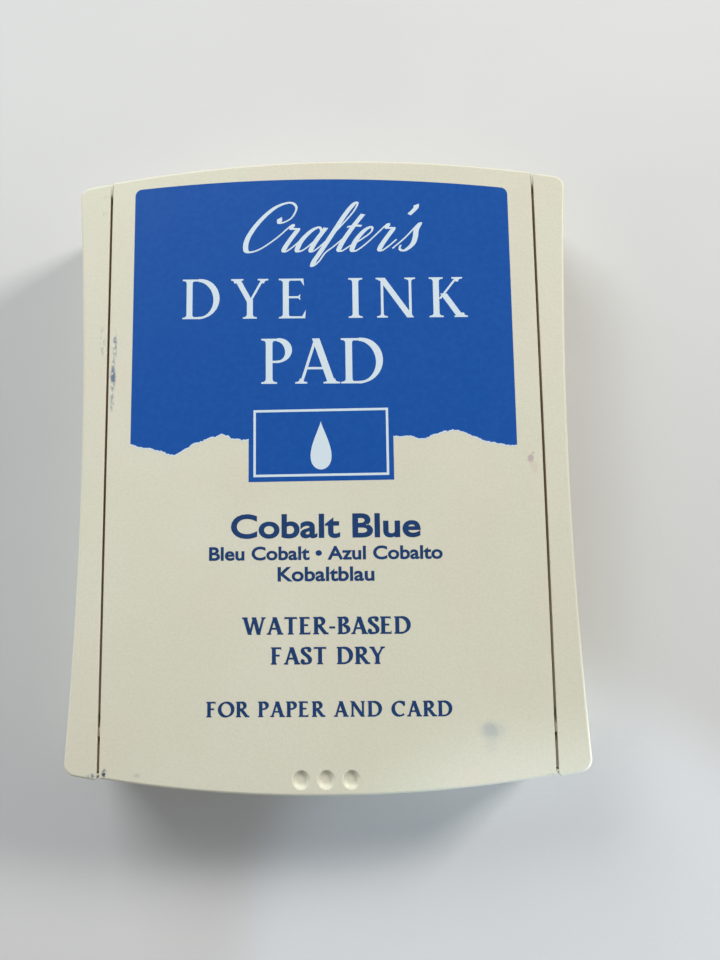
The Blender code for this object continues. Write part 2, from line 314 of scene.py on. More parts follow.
def rail_outline(way):
    """A rail from above, way being -1 on the left and 1 on the right."""
    side = [(side_x(y), y) for y in spread(-CORNER_Y, CORNER_Y, SIDE_STEPS)]
    inner_end = end_y(RAIL_INNER_X)
    points = [(RAIL_INNER_X, -inner_end)] + side + [(RAIL_INNER_X, inner_end)]
    radii = dict.fromkeys((0, len(points) - 1), SEAM_CORNER_RADIUS)
    radii.update(dict.fromkeys((1, len(points) - 2), CORNER_RADIUS))
    outline = []
    for x, y in rounded(points, radii):
        backness = (1 + y / inner_end) / 2
        outline.append((x, y + RAIL_FRONT_SHIFT + (RAIL_BACK_SHIFT - RAIL_FRONT_SHIFT) * backness))
    return outline if way > 0 else [(-x, y) for x, y in reversed(outline)]


def rectangle(half_x, half_y, radius):
    points = [(half_x, -half_y), (half_x, half_y), (-half_x, half_y), (-half_x, -half_y)]
    return rounded(points, dict.fromkeys(range(4), radius))


def circle(x, y, radius):
    turns = spread(0, math.tau, ROUND_SEGMENTS)[:-1]
    return [(x + radius * math.cos(a), y + radius * math.sin(a)) for a in turns]


def seam_rounds(outline, seam_x, other_round):
    """The round at each point of an outline's edge: fine along a seam at seam_x, else the other."""
    rounds = []
    for x, _ in outline:
        away = min(abs(abs(x) - seam_x) / SEAM_CORNER_RADIUS, 1)
        rounds.append(SEAM_ROUND + (other_round - SEAM_ROUND) * away)
    return rounds


# ---------------------------------------------------------------- solids


def times(sizes, factor):
    """The size multiplied, or each size where there is one for each point."""
    return [size * factor for size in sizes] if isinstance(sizes, list) else sizes * factor


def edge_ring(outline, height, edge_round, turn, way):
    """One ring of a rounded edge, turn going from 0 on the face to a right angle on the side."""
    ring = inset(outline, times(edge_round, 1 - math.sin(turn)))
    drops = times(edge_round, (1 - math.cos(turn)) * way)
    if not isinstance(drops, list):
        drops = [drops] * len(ring)
    return [(x, y, height - drop) for (x, y), drop in zip(ring, drops)]


def layers(outline, low, high, low_round=0.0, high_round=0.0):
    """Rings of a straight-sided block with rounded lower and upper edges.

    A negative round flares the edge outwards, which suits a cutter. It may be one for each point.
    """
    rings = []
    for turn in spread(0, math.pi / 2, EDGE_STEPS) if low_round else [math.pi / 2]:
        rings.append(edge_ring(outline, low, low_round, turn, -1))
    for turn in spread(math.pi / 2, 0, EDGE_STEPS) if high_round else [math.pi / 2]:
        rings.append(edge_ring(outline, high, high_round, turn, 1))
    return rings


def mouth(outline, bottom, face, lip_round):
    """Rings of a cutter that opens upwards through a face, with a rounded lip there."""
    rings = layers(outline, bottom, face)[:1]
    for turn in spread(math.pi / 2, 0, EDGE_STEPS):
        ring = inset(outline, -lip_round * (1 - math.sin(turn)))
        height = face - lip_round * math.cos(turn)
        rings.append([(x, y, height) for x, y in ring])
    rings.append([(x, y, face + LAP) for x, y, _ in rings[-1]])
    return rings


def place_mesh(name, points, faces):
    """A new object from points in millimetres."""
    mesh = bpy.data.meshes.new(name)
    mesh.from_pydata([Vector(point) * MM for point in points], [], faces)
    obj = bpy.data.objects.new(name, mesh)
    bpy.context.scene.collection.objects.link(obj)
    return obj


def solid(name, rings):
    """A closed solid through a stack of rings of equal count, capped at both ends."""
    count = len(rings[0])
    points = [point for ring in rings for point in ring]
    faces = [tuple(reversed(range(count)))]
    for start in range(0, len(points) - count, count):
        for i in range(count):
            j = (i + 1) % count
            faces.append((start + i, start + j, start + count + j, start + count + i))
    faces.append(tuple(range(len(points) - count, len(points))))
    return place_mesh(name, points, faces)


def upended(obj, way):
    """Turns a solid that was built upwards so that it points along X, way being its sign."""
    obj.data.transform(Matrix.Rotation(way * math.pi / 2, 4, "Y"))
    return obj


def block(name, low, high):
    """A block with its lower and upper edges rounded a little."""
    (x0, y0, z0), (x1, y1, z1) = low, high
    corners = [(x0, y0), (x1, y0), (x1, y1), (x0, y1)]
    outline = rounded(corners, dict.fromkeys(range(4), 2 * FINE_ROUND))
    return solid(name, layers(outline, z0, z1, high_round=FINE_ROUND))


def combine(target, tool, operation):
    modifier = target.modifiers.new(tool.name, "BOOLEAN")
    modifier.object = tool
    modifier.operation = operation


def add(target, tool):
    combine(target, tool, "UNION")


def cut(target, tool):
    combine(target, tool, "DIFFERENCE")


def settle(target):
    """Applies the object's modifiers and removes the shapes that they used."""
    tools = [modifier.object for modifier in target.modifiers if modifier.type == "BOOLEAN"]
    bpy.context.view_layer.update()
    evaluated = target.evaluated_get(bpy.context.evaluated_depsgraph_get())
    mesh = bpy.data.meshes.new_from_object(evaluated)
    target.modifiers.clear()
    target.data = mesh
    for tool in tools:
        bpy.data.objects.remove(tool)


def smooth(obj):
    """Shades the rounds smooth and keeps the flat faces flat."""
    obj.data.shade_smooth()
    obj.data.set_sharp_from_angle(angle=SHARP_ANGLE)
    weighted = obj.modifiers.new("flat faces", "WEIGHTED_NORMAL")
    weighted.keep_sharp = True


def finish_piece(obj, body, slot, material, *nodes):
    """Gives the piece its material and its place in the frame."""
    obj.data.materials.clear()
    obj.data.materials.append(material)
    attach(obj, body)
    if nodes:
        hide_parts(*nodes)


# ---------------------------------------------------------------- materials


class Recipe:
    """A node material. Each step takes sockets or plain values and returns a socket."""

    def __init__(self, name, **constants):
        self.material = bpy.data.materials.new(name)
        self.material.use_nodes = True
        self.nodes = self.material.node_tree.nodes
        self.shader = self.nodes["Principled BSDF"]
        self.place = self.nodes.new("ShaderNodeTexCoord").outputs["Object"]
        for socket, value in constants.items():
            self.shader.inputs[socket.replace("_", " ")].default_value = value

    def feed(self, socket, value):
        if isinstance(value, bpy.types.NodeSocket):
            self.material.node_tree.links.new(value, socket)
        elif isinstance(value, tuple) and len(value) == 3 and socket.type == "RGBA":
            socket.default_value = (*value, 1.0)
        else:
            socket.default_value = value

    def node(self, kind, inputs, output=0, **settings):
        """Adds a node, feeds its inputs by name or by number, and returns one of its outputs."""
        node = self.nodes.new("ShaderNode" + kind)
        for setting, value in settings.items():
            setattr(node, setting, value)
        for key, value in inputs.items():
            self.feed(node.inputs[key], value)
        return node.outputs[output]

    def scaled(self, scale, centre=(0.0, 0.0, 0.0)):
        """Object coordinates from a centre in millimetres, multiplied by scale per metre."""
        middle = tuple(c * MM for c in centre)
        away = self.node("VectorMath", {0: self.place, 1: middle}, operation="SUBTRACT")
        return self.node("VectorMath", {0: away, 1: scale}, operation="MULTIPLY")

    def noise(self, size, detail=2.0, stretch=(1.0, 1.0, 1.0)):
        """Noise whose lumps are about size millimetres across, longer where stretch is above 1."""
        place = self.scaled(tuple(1 / (size * MM * s) for s in stretch))
        return self.node("TexNoise", {"Vector": place, "Scale": 1.0, "Detail": detail}, "Fac")

    def between(self, value, low, high, start=0.0, stop=1.0):
        """The value mapped from low..high to start..stop, easing at both ends."""
        inputs = dict(enumerate((value, low, high, start, stop)))
        return self.node("MapRange", inputs, interpolation_type="SMOOTHSTEP")

    def along(self, axis):
        """Object coordinate along an axis, in metres."""
        return self.node("SeparateXYZ", {0: self.place}, axis)

    def math(self, operation, first, second=0.0):
        return self.node("Math", {0: first, 1: second}, operation=operation)

    def blend(self, factor, first, second):
        """A colour that goes from the first to the second as the factor goes from 0 to 1."""
        return self.node("Mix", {"Factor": factor, 6: first, 7: second}, 2, data_type="RGBA")

    def spot(self, x, y, half_x, half_y):
        """A blotch that is 1 in its middle and fades raggedly to 0, on any face seen from above."""
        place = self.scaled((1 / (half_x * MM), 1 / (half_y * MM), 0.0), (x, y, 0.0))
        out = self.node("VectorMath", {0: place}, "Value", operation="LENGTH")
        lumps = self.noise((half_x + half_y) / 3, 4.0)
        rough = self.between(lumps, 0.0, 1.0, -RAGGEDNESS, RAGGEDNESS)
        return self.between(self.math("ADD", out, rough), 1.0, 0.3)

    def bump(self, height, depth, normal=None):
        """A bump whose full height is depth millimetres, over another one if normal is given."""
        inputs = {"Strength": 1.0, "Distance": depth * MM, "Height": height}
        if normal is not None:
            inputs["Normal"] = normal
        return self.node("Bump", inputs)

    def finish(self, colour, roughness, normal):
        self.feed(self.shader.inputs["Base Color"], colour)
        self.feed(self.shader.inputs["Roughness"], roughness)
        self.feed(self.shader.inputs["Normal"], normal)
        return self.material


def plastic_base(recipe):
    """Cream plastic that has yellowed unevenly, with a few darker flecks of handling."""
    colour = CREAM
    for tint, size, detail, low, high, most in TINTS:
        patches = recipe.between(recipe.noise(size, detail), low, high, 0.0, most)
        colour = recipe.blend(patches, colour, tint)
    return colour


def plastic_grain(recipe):
    """A very fine moulded grain over faint, wide unevenness of the face."""
    grain = recipe.bump(recipe.noise(0.36, 3.0), 0.02)
    return recipe.bump(recipe.noise(7.0, 2.0), 0.02, normal=grain)


def plastic_gloss(recipe, low, high):
    """Roughness that varies in clouds, with finer streaks where hands have rubbed it."""
    rubbed = recipe.noise(5.0, 4.0, stretch=(1.0, 3.0, 1.0))
    return recipe.between(rubbed, 0.3, 0.7, low, high)


def seam_shade_and_grime(recipe, colour, wall_x):
    """Brown on a seam's wall at a distance wall_x from the middle of the case: painted shade of the
    narrow gap, darker deeper down, partly dirt as well.
    """
    side = recipe.math("ABSOLUTE", recipe.along("X"))
    off_wall = recipe.math("ABSOLUTE", recipe.math("SUBTRACT", side, wall_x * MM))
    mask = recipe.between(off_wall, 0.45 * MM, 0.3 * MM)
    height = recipe.along("Z")
    # painted shade: darker from just below the top down the wall, fading out far down
    begins = recipe.between(height, (TOP - 0.1) * MM, (TOP - 0.7) * MM)
    ends = recipe.between(height, (TOP - 2.9) * MM, (TOP - 1.7) * MM)
    patchy = recipe.between(recipe.noise(5.0, 2.0, stretch=(1.0, 3.0, 1.0)), 0.3, 0.65, 0.8, 1.0)
    weaker_in_front = recipe.between(recipe.along("Y"), -62 * MM, 10 * MM, 0.6, 1.0)
    for part in (begins, ends, patchy, weaker_in_front):
        mask = recipe.math("MULTIPLY", mask, part)
    return recipe.blend(mask, colour, SEAM_SHADE_AND_GRIME)


def cream_plastic(name, stains=(), rough=(0.42, 0.54), seam_wall=None):
    """Stains are (colour, strength, brokenness, x, y, half_x, half_y)."""
    recipe = Recipe(name, Specular_IOR_Level=0.45)
    colour = plastic_base(recipe)
    for stain, strength, brokenness, *where in stains:
        mask = recipe.math("MULTIPLY", recipe.spot(*where), strength)
        if brokenness:
            specks = recipe.noise(0.6, 3.0, stretch=(1.0, 1.8, 1.0))
            specks = recipe.between(specks, 0.3 + 0.2 * brokenness, 0.5 + 0.15 * brokenness)
            mask = recipe.math("MULTIPLY", mask, specks)
        colour = recipe.blend(mask, colour, stain)
    # painted shade down in the seam, partly dirt
    if seam_wall:
        colour = seam_shade_and_grime(recipe, colour, seam_wall)
    return recipe.finish(colour, plastic_gloss(recipe, *rough), plastic_grain(recipe))


def printed_ink(name, ink, lighter, worn):
    """Flat print with slight mottling and tiny worn specks, over the plastic's grain."""
    recipe = Recipe(name, Specular_IOR_Level=0.15)
    mottle = recipe.between(recipe.noise(1.1, 4.0), 0.35, 0.7, 0.0, 0.35)
    colour = recipe.blend(mottle, ink, lighter)
    specks = recipe.between(recipe.noise(0.35, 2.0), 0.74, 0.84, 0.0, 0.5)
    colour = recipe.blend(specks, colour, worn)
    return recipe.finish(colour, plastic_gloss(recipe, 0.46, 0.56), plastic_grain(recipe))


def card_board(name):
    """Grey board with fibres pressed into it."""
    recipe = Recipe(name, Specular_IOR_Level=0.2)
    fibres = recipe.noise(0.5, 5.0, stretch=(1.0, 6.0, 1.0))
    colour = recipe.blend(recipe.between(fibres, 0.35, 0.7), BOARD_GREY, BOARD_FIBRE)
    return recipe.finish(colour, 0.85, recipe.bump(fibres, 0.05))


def soaked_foam(name):
    """Open-celled foam, dark blue with ink, its cells' hollows painted darker as shade and their
    rims painted lighter as lit.
    """
    recipe = Recipe(name, Specular_IOR_Level=0.4)
    place = recipe.scaled((1 / (FOAM_CELL * MM),) * 3)
    depth = recipe.node("TexVoronoi", {"Vector": place, "Scale": 1.0}, "Distance")
    depth = recipe.between(depth, 0.0, 0.55)
    # darker in each cell's hollow, lighter on its rim: painted shade and light
    colour = recipe.blend(depth, FOAM_CELL_SHADE, FOAM_LIT)
    return recipe.finish(colour, 0.75, recipe.bump(depth, 0.15))


def woven_cloth(name):
    """Plain weave soaked with ink: threads that pass over and under each other, painted shade
    between them, a damp sheen.
    """
    recipe = Recipe(name, Specular_IOR_Level=0.5, Sheen_Weight=0.12, Sheen_Roughness=0.4)
    recipe.shader.inputs["Sheen Tint"].default_value = (0.25, 0.4, 0.9, 1.0)
    pitch = WEAVE_PITCH * MM
    wave = {"Vector": recipe.place, "Scale": math.pi / (20 * pitch), "Distortion": 0.0}
    threads = [recipe.node("TexWave", wave, "Fac", bands_direction=axis) for axis in ("X", "Y")]
    squares = recipe.scaled((1 / pitch, 1 / pitch, 0.0))
    over = recipe.node("TexChecker", {"Vector": squares, "Scale": 1.0}, "Fac")
    across = recipe.math("MULTIPLY", threads[0], over)
    along = recipe.math("MULTIPLY", threads[1], recipe.math("SUBTRACT", 1.0, over))
    weave = recipe.math("ADD", across, along)
    pooled = recipe.between(recipe.noise(9.0, 3.0), 0.35, 0.7, 0.0, 0.6)
    colour = recipe.blend(pooled, PAD_BLUE, PAD_POOLED)
    # painted shade in the gaps between the threads
    colour = recipe.blend(recipe.between(weave, 0.0, 0.6), PAD_GAP_SHADE, colour)
    rough = recipe.between(recipe.noise(6.0, 3.0), 0.3, 0.7, 0.42, 0.62)
    return recipe.finish(colour, rough, recipe.bump(weave, 0.06))


# ---------------------------------------------------------------- case and rails


def lower_notches(case):
    """Sinks the middle of each end wall's rim a little, sloping at the notch's ends."""
    for vertex in case.data.vertices:
        x, y, z = vertex.co / MM
        if z > CASE_TOP - 2 * RIM_ROUND and abs(y) > NOTCH_FROM_Y:
            slope = min(max((NOTCH_HALF_WIDTH + NOTCH_SLOPE - abs(x)) / NOTCH_SLOPE, 0), 1)
            vertex.co.z -= NOTCH_DEPTH * slope * slope * (3 - 2 * slope) * MM


def ejector_marks(target, name, places, face, way):
    """Shallow round marks in a flat face at the given height, which looks up if way is 1."""
    low, high = sorted((face - way * EJECTOR_DEPTH, face + way * LAP))
    for index, (x, y) in enumerate(places):
        cut(target, solid(f"{name}_{index}", layers(circle(x, y, EJECTOR_RADIUS), low, high)))


def make_lower_case(material):
    case = solid("case_moulding", layers(case_outline(), 0, CASE_TOP, FOOT_ROUND, RIM_ROUND))
    cut(case, solid("case_cavity", mouth(case_outline(WALL), FLOOR, CASE_TOP, RIM_ROUND)))
    settle(case)
    lower_notches(case)
    for way in (-1, 1):
        inner, outer = sorted((way * RUNNER_X, way * (RUNNER_X + RUNNER_WIDTH)))
        low = (inner, -RUNNER_HALF_LENGTH, FLOOR / 2)
        add(case, block(f"runner_{way}", low, (outer, RUNNER_HALF_LENGTH, RUNNER_TOP)))
        for y in PEG_YS:
            boss = layers(circle(way * PEG_X, y, BOSS_RADIUS), FLOOR / 2, CASE_TOP)
            add(case, solid(f"boss_{way}_{y:.0f}", boss))
            hole = layers(circle(way * PEG_X, y, SOCKET_RADIUS), SOCKET_BOTTOM, CASE_TOP + LAP)
            cut(case, solid(f"socket_{way}_{y:.0f}", hole))
    ejector_marks(case, "floor_mark", CASE_MARKS, FLOOR, 1)
    ejector_marks(case, "foot_mark", CASE_MARKS, 0.0, -1)
    settle(case)
    smooth(case)
    finish_piece(case, "case", "case_plastic", material, "lower_case")


def slot_cutter(name, way):
    """A full-round slot along the rail's inner face, with a rounded lip."""
    half_length = -PIVOT.y + SLOT_HALF_HEIGHT
    outline = rectangle(SLOT_HALF_HEIGHT, half_length, SLOT_HALF_HEIGHT * SLOT_FULLNESS)
    depth = SLOT_END_X - RAIL_INNER_X
    cutter = solid(name, mouth(outline, -depth, 0, SLOT_ROUND))
    upended(cutter, -way)
    cutter.data.transform(Matrix.Translation((way * RAIL_INNER_X * MM, 0, PIVOT.z * MM)))
    return cutter


def guide_rib(name, way, full_end, low_end, sunk):
    """A thin rib on the rail's inner face that narrows the seam, its top sunk below the rail's.

    The top slopes down towards its low end.
    """
    x0, x1 = sorted((way * (TRAY_HALF_WIDTH + GUIDE_CLEARANCE), way * (RAIL_INNER_X + LAP / 2)))
    ahead = math.copysign(1, low_end - full_end)
    length = abs(low_end - full_end)
    ramp = min(GUIDE_RAMP, length / 2)
    drop = GUIDE_DROP * ramp / GUIDE_RAMP
    sections = [(0, FINE_ROUND / 2), (FINE_ROUND, 0), (length - ramp, 0), (length, drop)]
    rings = []
    for along, extra in sections[::int(ahead)]:
        y = full_end + ahead * along
        top = TOP - sunk - extra
        bottom = TOP - sunk - GUIDE_DEPTH
        rings.append([(x0, y, bottom), (x0, y, top), (x1, y, top), (x1, y, bottom)])
    return solid(name, rings)


def make_rail(name, way, material):
    """One side rail, way being -1 on the left and 1 on the right."""
    outline = rail_outline(way)
    rounds = seam_rounds(outline, RAIL_INNER_X, TOP_ROUND)
    rail = solid(f"{name}_moulding", layers(outline, RAIL_BOTTOM, TOP, FINE_ROUND / 2, rounds))
    cut(rail, slot_cutter(f"{name}_slot", way))
    for index, guide in enumerate(GUIDES):
        add(rail, guide_rib(f"{name}_guide_{index}", way, *guide))
    for y in PEG_YS:
        peg = layers(circle(way * PEG_X, y, PEG_RADIUS), PEG_TIP, RAIL_BOTTOM + LAP, FINE_ROUND)
        add(rail, solid(f"{name}_peg_{y:.0f}", peg))
    settle(rail)
    smooth(rail)
    finish_piece(rail, "case", "rail_plastic", material, name)


# ---------------------------------------------------------------- tray and label plate


def fit_tray_side(tray, way):
    """The pin's block and its bore, way being -1 on the left and 1 on the right."""
    inner, outer = sorted((way * BLOCK_X, way * (TRAY_HALF_WIDTH - LAP)))
    low = (inner, BLOCK_FRONT_Y, TRAY_LOW.z + LAP)
    add(tray, block(f"pin_block_{way}", low, (outer, BLOCK_BACK_Y, BLOCK_TOP)))
    bore = layers(circle(0, 0, BORE_RADIUS), BLOCK_X - LAP, TRAY_HALF_WIDTH + LAP)
    bore = upended(solid(f"bore_{way}", bore), way)
    bore.data.transform(Matrix.Translation((0, PIVOT.y * MM, PIVOT.z * MM)))
    cut(tray, bore)


def make_pad_tray(material):
    """A shell closed below round the pad's well and open above, where the label plate covers it."""
    tray = layers(tray_outline(), TRAY_LOW.z, TRAY_HIGH.z, TRAY_ROUND, FINE_ROUND)
    tray = solid("tray_moulding", tray)
    hollow = layers(tray_outline(WALL), TRAY_LOW.z + WALL, TRAY_HIGH.z + LAP)
    cut(tray, solid("tray_hollow", hollow))
    walls = rectangle(WELL_HALF_X + WELL_WALL, WELL_HALF_Y + WELL_WALL, WELL_CORNER + WELL_WALL)
    add(tray, solid("well_walls", layers(walls, TRAY_LOW.z + LAP, WELL_TOP + WALL)))
    well = rectangle(WELL_HALF_X, WELL_HALF_Y, WELL_CORNER)
    well = mouth(well, -WELL_TOP, -TRAY_LOW.z, LIP_ROUND)
    well = solid("well", [[(-x, y, -z) for x, y, z in ring] for ring in well])
    cut(tray, well)
    for way in (-1, 1):
        fit_tray_side(tray, way)
    ejector_marks(tray, "tray_mark", TRAY_MARKS, TRAY_LOW.z, -1)
    settle(tray)
    smooth(tray)
    finish_piece(tray, "pad_assembly", "tray_plastic", material, "pad_tray")


def dimple_depth(x, y):
    """How far a dimple sinks the plate's top at a point: steep at the rim, flat in the middle."""
    for middle in DIMPLE_XS:
        out = math.hypot((x - middle) / DIMPLE_HALF_WIDTH, (y - DIMPLE_Y) / DIMPLE_HALF_LENGTH)
        if out < 1:
            return DIMPLE_DEPTH * (1 - out ** 6 * (7 - 6 * out))
    return 0.0


def dimple_rings():
    """Closed rings round each dimple's middle."""
    rings = []
    for middle in DIMPLE_XS:
        for out in DIMPLE_RINGS:
            ring = [(x * DIMPLE_HALF_WIDTH, y * DIMPLE_HALF_LENGTH) for x, y in circle(0, 0, out)]
            rings.append([(middle + x, DIMPLE_Y + y) for x, y in ring])
    return rings


def sink_top(obj, rim, rings, depth):
    """Replaces the flat top face inside the rim by one that sinks by depth(x, y)."""
    mesh = bmesh.new()
    mesh.from_mesh(obj.data)
    mesh.faces.ensure_lookup_table()
    bmesh.ops.delete(mesh, geom=[mesh.faces[-1]], context="FACES_ONLY")
    points = [Vector(point) for point in rim]
    outer = list(range(len(points)))
    edges = []
    for ring in rings:
        start = len(points)
        points += [Vector(point) for point in ring]
        edges += [(start + i, start + (i + 1) % len(ring)) for i in range(len(ring))]
    flat, _, faces, *_ = delaunay_2d_cdt(points, edges, [outer], 1, 1e-7)
    corners = [mesh.verts.new(Vector((x, y, TOP - depth(x, y))) * MM) for x, y in flat]
    for face in faces:
        mesh.faces.new([corners[i] for i in face])
    bmesh.ops.remove_doubles(mesh, verts=mesh.verts, dist=MM * 1e-3)
    bmesh.ops.recalc_face_normals(mesh, faces=mesh.faces)
    mesh.to_mesh(obj.data)
    mesh.free()


def make_label_plate(material):
    outline = tray_outline()
    rounds = seam_rounds(outline, TRAY_HALF_WIDTH, TOP_ROUND)
    rings = layers(outline, PLATE_BOTTOM, TOP, FINE_ROUND, rounds)
    plate = solid("plate_moulding", rings)
    sink_top(plate, [(x, y) for x, y, _ in rings[-1]], dimple_rings(), dimple_depth)
    for x in (-POST_X, POST_X):
        for y in (-POST_Y, POST_Y):
            post = layers(circle(x, y, POST_RADIUS), POST_TIP, PLATE_BOTTOM + LAP, FINE_ROUND)
            add(plate, solid(f"post_{x:.0f}_{y:.0f}", post))
    settle(plate)
    smooth(plate)
    finish_piece(plate, "pad_assembly", "label_plastic", material, "label_plate")


# ---------------------------------------------------------------- print

# The panel, and its torn lower edge from left to right
PANEL_LEFT = -36.4
PANEL_RIGHT = 36.2
PANEL_TOP = 56.05
PANEL_BOW = 1.9 / 35 ** 2
PANEL_TILT = -0.0214
PANEL_CORNER = 1.4
TEAR_STEPS = 300
TEAR = (
    (-36.5, 4.1), (-32.2, 3.3), (-28.2, 2.2), (-24.0, 4.2), (-18.6, 5.8), (-13.5, 4.6),
    (13.5, 4.8), (18.5, 4.4), (24.4, 5.9), (30.4, 3.6), (36.4, 2.7),
)

# The badge as left, bottom, right and top, and its drop's height and size
BADGE = (-14.0, -3.35, 13.2, 11.2)
BADGE_BORDER = 0.9
BADGE_LINE = 0.45
DROP_Y = 3.4
DROP_SIZE = 4.6

# Words with their left, right and base. The names then have their top and how much bolder they
# are, and the others the height of a capital.
SCRIPT_PLACE = (-15.2, 19.6, 41.3)
TITLE = (
    ("DYE INK", -27.0, 27.2, 28.0, 7.9),
    ("PAD", -11.8, 12.0, 15.2, 8.8),
)
NAMES = (
    ("Cobalt Blue", -17.1, 17.7, -13.8, -9.6, 0.17),
    ("Bleu Cobalt • Azul Cobalto", -21.2, 21.7, -17.9, -15.55, 0.10),
    ("Kobaltblau", -8.5, 9.1, -21.8, -19.35, 0.10),
)
NOTES = (
    ("WATER-BASED", -15.0, 15.7, -31.5, 3.15),
    ("FAST DRY", -9.9, 10.8, -36.85, 3.1),
    ("FOR PAPER AND CARD", -21.6, 22.8, -46.1, 2.75),
)
TITLE_TILT = -0.015
WORDS_TILT = -0.006


def torn_edge():
    """The ragged lower edge of the panel from left to right: a slow wave with fine teeth on it."""
    slow_x, slow_y = zip(*through(TEAR))
    points = []
    for x in spread(PANEL_LEFT, PANEL_RIGHT, TEAR_STEPS):
        teeth = noise.noise((x * 0.9, 3.7, 0.0)) * 0.35 + noise.noise((x * 3.1, 9.1, 0.0)) * 0.3
        points.append((x, float(np.interp(x, slow_x, slow_y)) + teeth))
    return points


def torn_rim():
    """The pale torn fibres along the ragged edge, a strip of uneven width."""
    torn = torn_edge()
    lower = [(x, y - 0.2 - 0.22 * abs(noise.noise((x * 1.7, 5.3, 0.0)))) for x, y in torn]
    return lower + torn[::-1]


def panel_outline():
    """The panel anticlockwise: its torn edge from left to right, then its bowed top."""
    torn = torn_edge()
    top = []
    for x in spread(PANEL_RIGHT, PANEL_LEFT, END_STEPS):
        top.append((x, PANEL_TOP - PANEL_BOW * x * x + PANEL_TILT * x))
    corners = (len(torn), len(torn) + END_STEPS)
    return rounded(torn + top, dict.fromkeys(corners, PANEL_CORNER))


def frame_box(left, bottom, right, top, margin=0.0):
    left, bottom, right, top = left + margin, bottom + margin, right - margin, top - margin
    return [(left, bottom), (right, bottom), (right, top), (left, top)]


def drop_outline(x, y, size):
    """An ink drop standing on its round end, its point up."""
    points = []
    for turn in spread(0, math.tau, 48)[:-1]:
        narrow = math.sin(turn / 2) ** 1.6
        points.append((x + size * 0.62 * math.sin(turn) * narrow, y + size * math.cos(turn)))
    return points


def signed_area(points):
    return sum(x0 * y1 - x1 * y0 for (x0, y0), (x1, y1) in zip(points, points[1:] + points[:1])) / 2


def font_outlines(words):
    """The closed outlines of the words in the built-in face, outer ones anticlockwise."""
    curve = bpy.data.curves.new(words, "FONT")
    curve.body = words
    curve.fill_mode = "NONE"
    curve.resolution_u = 5
    text = bpy.data.objects.new(words, curve)
    bpy.context.scene.collection.objects.link(text)
    bpy.context.view_layer.update()
    mesh = text.evaluated_get(bpy.context.evaluated_depsgraph_get()).to_mesh()
    following = {}
    for edge in mesh.edges:
        a, b = edge.vertices
        following.setdefault(a, []).append(b)
        following.setdefault(b, []).append(a)
    places = [(v.co.x, v.co.y) for v in mesh.vertices]
    outlines = []
    while following:
        start = min(following)
        loop = [start]
        while True:
            onward = [n for n in following.pop(loop[-1]) if n in following]
            if not onward:
                break
            loop.append(min(onward))
        outlines.append([places[i] for i in loop])
    bpy.data.objects.remove(text)
    widest = max(outlines, key=lambda outline: abs(signed_area(outline)))
    if signed_area(widest) < 0:
        outlines = [outline[::-1] for outline in outlines]
    return [outline for outline in outlines if len(outline) > 2]


def lettering(words, left, right, bottom, top, weight):
    """The words' outlines fitted into a box, standing on its bottom, and thickened by weight."""
    outlines = font_outlines(words)
    xs = [x for outline in outlines for x, _ in outline]
    ys = [y for outline in outlines for _, y in outline]
    scale_x = (right - left) / (max(xs) - min(xs))
    scale_y = (top - bottom) / max(ys)
    fitted = []
    for outline in outlines:
        outline = [(left + (x - min(xs)) * scale_x, bottom + y * scale_y) for x, y in outline]
        fitted.append(inset(outline, -weight))
    return fitted


def pen_stroke(points, width_of):
    """A stroke along the points as a row of quads, as wide in each direction as width_of says."""
    quads = []
    last = None
    for index, point in enumerate(points):
        behind = Vector(points[max(index - 1, 0)])
        ahead = Vector(points[min(index + 1, len(points) - 1)])
        direction = (ahead - behind).normalized()
        half = Vector((-direction.y, direction.x)) * width_of(direction) / 2
        pair = (tuple(Vector(point) + half), tuple(Vector(point) - half))
        if last is not None:
            quads.append([last[0], last[1], pair[1], pair[0]])
        last = pair
    return quads


def through(knots, steps=8):
    """Points on a smooth curve through the knots."""
    knots = [Vector(knot) for knot in knots]
    ends = [knots[0] * 2 - knots[1], *knots, knots[-1] * 2 - knots[-2]]
    points = []
    for before, start, stop, after in zip(ends, ends[1:], ends[2:], ends[3:]):
        reach = (stop - before) / 6, (after - start) / 6
        points += interpolate_bezier(start, start + reach[0], stop - reach[1], stop, steps)[:-1]
    return [tuple(point) for point in points] + [tuple(knots[-1])]


